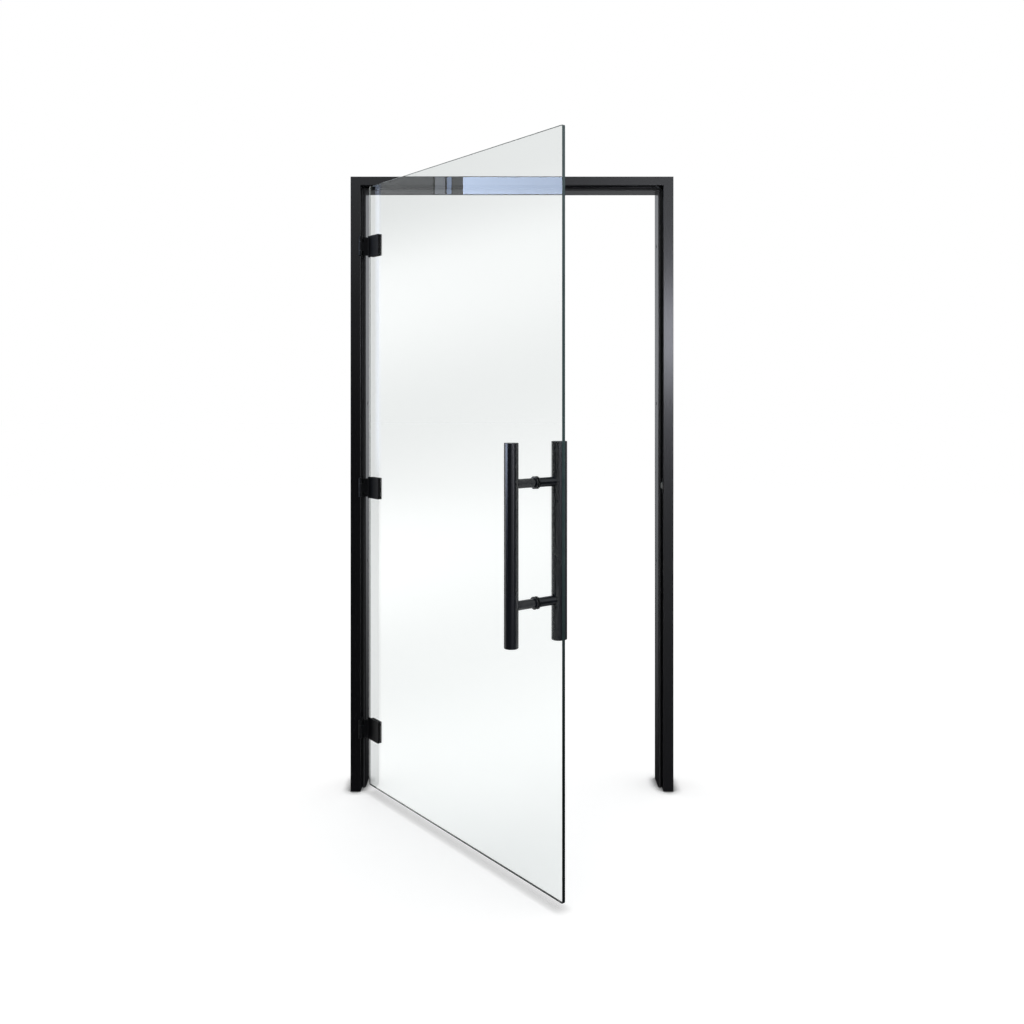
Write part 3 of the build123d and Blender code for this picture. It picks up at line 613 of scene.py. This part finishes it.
# %% A bowed strip of spring steel
STRIP_MM = 0.5
BOW_STEPS = 24
ring = []
for i in range(BOW_STEPS + 1):
    angle = -half_angle + 2 * half_angle * i / BOW_STEPS
    for radius in (bow_radius, bow_radius - STRIP_MM / 1000):
        for y in (spring_low.y, spring_high.y):
            x = min(bow_centre.x - radius * math.cos(angle), spring_high.x)
            ring.append((x, y, bow_centre.z + radius * math.sin(angle)))
walls = []
for i in range(BOW_STEPS):
    a, b = 4 * i, 4 * i + 4
    walls += [(a, b, b + 1, a + 1), (a + 2, a + 3, b + 3, b + 2)]
    walls += [(a, a + 2, b + 2, b), (a + 1, b + 1, b + 3, a + 3)]
last = 4 * BOW_STEPS
walls += [(0, 1, 3, 2), (last, last + 2, last + 3, last + 1)]
strip = bpy.data.meshes.new("catch_bow_spring")
strip.from_pydata(ring, [], walls)
strip.materials.append(steel)
bow = bpy.data.objects.new("catch_bow_spring", strip)
bpy.context.scene.collection.objects.link(bow)
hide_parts("catch_spring")
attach(bow, "frame")
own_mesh(bow)
print("bowed spring with", len(walls), "faces")

# %% [markdown]
# ## The floor
# The door stands on a plain white floor before a plain white background. The floor takes the soft
# shadows of the jambs and of the leaf, and close to them a painted shade darkens its colour and glow
# a little more, in a seam a few centimetres wide, which an Ambient Occlusion node finds.
#
# A white floor lit by a white sky would still come out grey beside a pure white background. So a
# faint glow, seen by the camera and through the glass alone, lifts it to white. The glow is a pool:
# it is brighter near the door and falls off far away, so that no horizon shows in the leaf.

# %% A floor that reaches far
REACH = 40.0
floor_corners = [(-REACH, -REACH, 0), (REACH, -REACH, 0), (REACH, REACH, 0), (-REACH, REACH, 0)]
floor_mesh = bpy.data.meshes.new("studio_floor")
floor_mesh.from_pydata(floor_corners, [], [(0, 1, 2, 3)])
floor = bpy.data.objects.new("studio_floor", floor_mesh)
bpy.context.scene.collection.objects.link(floor)
print("floor reaches", REACH, "m each way")

# %% White paper with a pool of light
PAPER = 0.887
CONTACT_M = 0.034
POOL_NEAR, POOL_FAR = 0.46, 0.353
paper, tree = empty_finish("white_studio_paper")
close_by = put(tree, "ShaderNodeAmbientOcclusion", {"Distance": CONTACT_M}, samples=8)
# Painted shade: near the jambs and the leaf the occlusion darkens the paper's colour and its glow.
painted_contact_shade = ramp(tree, close_by.outputs["AO"], 0.5, 1.0, 0.2, 1.0, "LINEAR")
matt = put(tree, "ShaderNodeBsdfDiffuse", {"Color": calc(tree, "MULTIPLY", painted_contact_shade, PAPER)})
away = put(tree, "ShaderNodeVectorMath", {0: own_place(tree)}, operation="LENGTH").outputs["Value"]
pool = ramp(tree, away, 1.5, 12.0, POOL_NEAR, POOL_FAR)
path = put(tree, "ShaderNodeLightPath").outputs
seen = calc(tree, "MAXIMUM", path["Is Camera Ray"], path["Is Transmission Ray"])
lift = calc(tree, "MULTIPLY", calc(tree, "MULTIPLY", pool, seen), painted_contact_shade)
glow = put(tree, "ShaderNodeEmission", {"Color": linear("#ffffff"), "Strength": lift})
paper_sum = put(tree, "ShaderNodeAddShader", {0: matt.outputs["BSDF"], 1: glow.outputs["Emission"]})
put(tree, "ShaderNodeOutputMaterial", {"Surface": paper_sum.outputs["Shader"]})
floor_mesh.materials.append(paper)
floor.visible_glossy = False
print("floor glows by", POOL_NEAR, "near the door and", POOL_FAR, "far away")

# %% [markdown]
# ## The world
# What a camera or a glass sees of the world is white. What lights the object is a paler sky, and
# light that reaches the floor through the leaf is weaker, because the glass's shadow rays already
# count it once. A ray that has met a matt surface is lighting it, and its Diffuse Depth tells so.
#
# Reflections see a studio: dark low down and pale higher up, with a pale wall on the right in
# front. Steep downward reflections see white again, as the floor would give.

# %% A world that is white to look at and pale to be lit by
SKY_LIGHT = 0.75
PANE_LOSS = 0.4
bpy.context.scene.view_settings.view_transform = "Standard"
world = bpy.data.worlds.new("studio_world")
bpy.context.scene.world = world
world.use_nodes = True
tree = world.node_tree
tree.nodes.clear()
path = put(tree, "ShaderNodeLightPath").outputs
looked = calc(tree, "MAXIMUM", path["Is Camera Ray"], path["Is Transmission Ray"])
lighting = calc(tree, "MINIMUM", path["Diffuse Depth"], 1.0)
seen = calc(tree, "MULTIPLY", looked, calc(tree, "SUBTRACT", 1.0, lighting))
through_pane = calc(tree, "MULTIPLY", path["Is Transmission Ray"], lighting)
sky_level = calc(tree, "MULTIPLY_ADD", through_pane, -PANE_LOSS, SKY_LIGHT)
print("sky light", SKY_LIGHT, "and through the leaf", round(SKY_LIGHT - PANE_LOSS, 2))

# %% What reflections see
way = put(tree, "ShaderNodeTexCoord").outputs["Generated"]
axes = put(tree, "ShaderNodeSeparateXYZ", {"Vector": way}).outputs
behind = ramp(tree, axes["Z"], -0.38, 0.1, 0.01, 0.7)
ahead = ramp(tree, axes["Z"], 0.03, 0.3, 0.02, 1.25)
right_wall = ramp(tree, axes["X"], 0.03, 0.14, 0.0, 0.9)
wall_end = ramp(tree, axes["X"], 0.25, 0.45, 1.0, 0.0)
wall_height = ramp(tree, axes["Z"], -0.45, 0.0, 0.0, 1.0)
wall = calc(tree, "MULTIPLY", right_wall, wall_end)
in_front = calc(tree, "MULTIPLY_ADD", wall, wall_height, ahead)
side = ramp(tree, axes["Y"], -0.3, 0.3, 0.0, 1.0)
round_about = mix_number(tree, side, in_front, behind)
below = ramp(tree, axes["Z"], -0.7, -0.45, 0.75, 0.0)
all_round = calc(tree, "ADD", round_about, below)
print("reflections see", len(tree.nodes), "nodes of studio")

# %% Put the world together
def backdrop(colour, strength):
    inputs = {"Color": linear(colour), "Strength": strength}
    return put(tree, "ShaderNodeBackground", inputs).outputs["Background"]


mirrored = backdrop("#eef1f6", all_round)
sky = backdrop("#fcfcfc", sky_level)
white = backdrop("#ffffff", 1.0)
lit = mix_shader(tree, path["Is Glossy Ray"], sky, mirrored)
shown = mix_shader(tree, seen, lit, white)
put(tree, "ShaderNodeOutputWorld", {"Surface": shown})
print("world nodes:", len(tree.nodes))

# %% [markdown]
# ## One softbox
# A wide softbox on the right, behind the camera, lays the soft streak on the strike jamb. It lights
# every node except the glass: a turned leaf would mirror the lamp as a white square, and the floor
# would show its edge. Light linking keeps it to a collection of nodes.

# %% A softbox for the metal alone
def softbox(name, place, target, width, height, power, colour, receivers):
    lamp = bpy.data.lights.new(name, "AREA")
    lamp.shape = "RECTANGLE"
    lamp.size, lamp.size_y = width, height
    lamp.energy = power
    lamp.color = linear(colour)[:3]
    stand = bpy.data.objects.new(name, lamp)
    stand.location = place
    stand.rotation_euler = (Vector(target) - Vector(place)).to_track_quat("-Z", "Y").to_euler()
    bpy.context.scene.collection.objects.link(stand)
    stand.visible_camera = False
    stand.visible_transmission = False
    stand.light_linking.receiver_collection = receivers
    print(name, "at", place, "power", power)


metal_nodes = bpy.data.collections.new("softbox_receivers")
for name, node in nodes.items():
    if name != "glass_panel":
        metal_nodes.objects.link(node)
LAMP, AIM = (1.9, -4.6, 1.76), (0.4, 0.0, 1.5)
softbox("right_softbox", LAMP, AIM, 2.2, 0.5, 54.0, "#f1f2ff", metal_nodes)

# %% [markdown]
# ## What the pull and the leaf mirror
# The round bars show a bluish streak on their left and a thin one on the posts. A lamp on each side
# would give both, but it would also light the floor unevenly. So the two windows are glowing cards
# that only reflections see: a card glows for a ray that has been mirrored and has met nothing matt,
# and is clear to all others. The windows light the same nodes as the softbox, because the leaf would
# mirror them too.
#
# The clear sheet shows a faint mirror image of the studio's left side. There stands a large card
# with soft slanting bands, and before it five narrow strips, from sky-blue to grey, that show where
# the dark head is behind the glass. All are placed from the mirror image of the camera in the leaf.

# %% A glowing card that only reflections see
def glowing_card(name, corners, finish, through_glass, receivers):
    mesh = bpy.data.meshes.new(name)
    mesh.from_pydata(corners, [], [(0, 1, 2, 3)])
    mesh.materials.append(finish)
    spread = mesh.uv_layers.new(name="spread")
    for loop, uv in zip(spread.data, ((0, 0), (1, 0), (1, 1), (0, 1))):
        loop.uv = uv
    card = bpy.data.objects.new(name, mesh)
    bpy.context.scene.collection.objects.link(card)
    card.visible_camera = False
    card.visible_diffuse = False
    card.visible_transmission = through_glass
    card.visible_shadow = False
    card.light_linking.receiver_collection = receivers
    print(name, "of", round((Vector(corners[1]) - Vector(corners[0])).length, 2), "m width")


def only_mirrored(tree, colour, strength):
    path = put(tree, "ShaderNodeLightPath").outputs
    unlit = calc(tree, "LESS_THAN", path["Diffuse Depth"], 0.5)
    glossy = calc(tree, "GREATER_THAN", path["Glossy Depth"], 0.5)
    in_mirror = calc(tree, "MULTIPLY", unlit, glossy)
    unseen = put(tree, "ShaderNodeBsdfTransparent").outputs["BSDF"]
    glow = put(tree, "ShaderNodeEmission", {"Color": linear(colour), "Strength": strength})
    shown = mix_shader(tree, in_mirror, unseen, glow.outputs["Emission"])
    put(tree, "ShaderNodeOutputMaterial", {"Surface": shown})


def plain_glow(name, colour, strength):
    finish, tree = empty_finish(name)
    only_mirrored(tree, colour, strength)
    return finish


print("cards glow for mirrored rays alone")

# %% Windows for the pull
def window(name, start, end, low, high, colour, strength):
    corners = [(*start, low), (*end, low), (*end, high), (*start, high)]
    finish = plain_glow(name + "_glow", colour, strength)
    glowing_card(name, corners, finish, True, metal_nodes)


window("left_window", (-2.82, -2.24), (-3.13, -0.13), 0.87, 2.6, "#cddaf8", 11.5)
window("right_window", (2.2, -4.0), (2.75, -3.6), 0.25, 1.9, "#f4f6ff", 3.0)

# %% Mirror the camera in the leaf
GLASS_FRONT = 0.0313
FACING = -THROUGH
on_glass = on_door(0.0, GLASS_FRONT, 0.0)


def mirrored_way(vector):
    return vector - FACING * (2 * vector.dot(FACING))


mirror_eye = EYE - FACING * (2 * (EYE - on_glass).dot(FACING))
mirror_ahead = mirrored_way(Vector((0, 1, 0)))
mirror_side = mirrored_way(Vector((1, 0, 0)))
FRAME_PX = 1024.0
FOCAL_PX = LENS_MM / SENSOR_MM * FRAME_PX
HORIZON_PX = FRAME_PX * (0.5 + HORIZON_SHIFT)
print("mirror camera at", [round(c, 3) for c in mirror_eye])

# %% A card that the leaf shows at a place in the picture
def reflector(name, left, top, right, bottom, distance, finish):
    corners = []
    for x, y in ((left, bottom), (right, bottom), (right, top), (left, top)):
        aside = (x - FRAME_PX / 2) / FOCAL_PX * distance
        rise = (HORIZON_PX - y) / FOCAL_PX * distance
        corners.append(mirror_eye + mirror_ahead * distance + mirror_side * aside + UP * rise)
    glowing_card(name, corners, finish, False, None)


print("cards are placed with a focal length of", round(FOCAL_PX, 1), "px")

# %% Soft slanting bands
CARD_LEFT, CARD_TOP, CARD_RIGHT, CARD_BOTTOM = 340.0, 100.0, 600.0, 930.0
CARD_AWAY = 6.0
BAND_STEP_PX = 246.0
BAND_SLANT = 0.25
SLANT_FROM_PX = 450
FIRST_BAND_PX = 285.0
banded, tree = empty_finish("banded_studio_reflector")
uv = put(tree, "ShaderNodeTexCoord").outputs["UV"]
spread = put(tree, "ShaderNodeSeparateXYZ", {"Vector": uv}).outputs
lowest, highest = CARD_BOTTOM - FIRST_BAND_PX, CARD_TOP - FIRST_BAND_PX
down = ramp(tree, spread["Y"], 0.0, 1.0, lowest, highest, "LINEAR")
leftmost, rightmost = BAND_SLANT * (CARD_LEFT - SLANT_FROM_PX), BAND_SLANT * (CARD_RIGHT - SLANT_FROM_PX)
aside = ramp(tree, spread["X"], 0.0, 1.0, leftmost, rightmost, "LINEAR")
place = calc(tree, "ADD", down, aside)
wave = calc(tree, "COSINE", calc(tree, "MULTIPLY", place, 2 * math.pi / BAND_STEP_PX))
level = ramp(tree, wave, -1.0, 1.0, 0.85, 2.15, "LINEAR")
fade = ramp(tree, place, -110.0, -20.0, 0.0, 1.0)
only_mirrored(tree, "#ffffff", calc(tree, "MULTIPLY", level, fade))
reflector("banded_reflector", CARD_LEFT, CARD_TOP, CARD_RIGHT, CARD_BOTTOM, CARD_AWAY, banded)

# %% Strips of sky and of grey
HEAD_TOP_PX, HEAD_BOTTOM_PX = 177.0, 194.2
STRIP_AWAY = 5.8
strips = (
    ("sky_strip", 463.0, 566.0, "#b7c8e4", 12.2),
    ("dark_strip", 452.5, 463.0, "#c9cbd0", 0.8),
    ("blue_strip", 447.0, 451.5, "#aabfe4", 4.2),
    ("pale_strip", 435.0, 445.0, "#c4cbd8", 2.4),
    ("grey_strip", 372.0, 433.0, "#c9cbd0", 0.9),
)
for name, left, right, colour, strength in strips:
    finish = plain_glow(name + "_glow", colour, strength)
    reflector(name, left, HEAD_TOP_PX, right, HEAD_BOTTOM_PX, STRIP_AWAY, finish)
